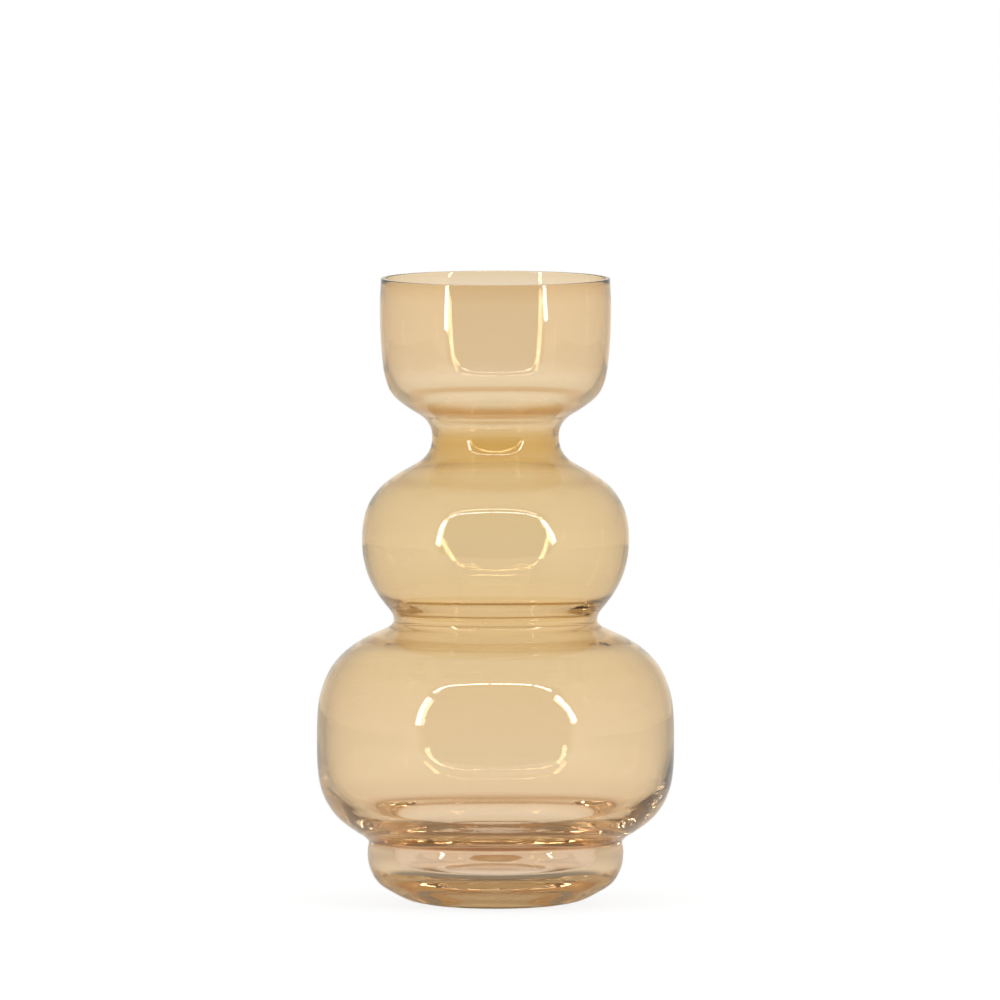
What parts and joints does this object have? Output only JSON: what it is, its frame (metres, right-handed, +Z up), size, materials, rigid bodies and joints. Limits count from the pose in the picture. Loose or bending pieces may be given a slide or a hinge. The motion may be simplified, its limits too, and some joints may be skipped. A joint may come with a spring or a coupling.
{
  "type": "gourd vase",
  "caption": "Free-standing amber glass gourd vase: foot, two stacked bulbs, narrow neck and a cup-shaped open mouth for cut flowers.",
  "frame": {"origin": "centre of the ground ring under the foot, on the surface that the vase stands on", "axes": "+Z up along the vase's axis, towards its mouth; X and Y are any two directions square to it, as the vase is round"},
  "size_m": [0.143, 0.143, 0.251],
  "materials": {
    "amber_glass": "clear soda-lime glass with a thin amber lustre, mould-blown, glossy",
    "thick_glass": "thick clear soda-lime glass with a thin amber lustre, glossy, ground flat on its ring"
  },
  "bodies": {
    "root": {"foot_base": "thick_glass", "foot_wall": "thick_glass", "lower_bulb": "amber_glass", "waist": "amber_glass", "middle_bulb": "amber_glass", "neck": "amber_glass", "cup": "amber_glass", "rim": "amber_glass"}
  },
  "joints": []
}
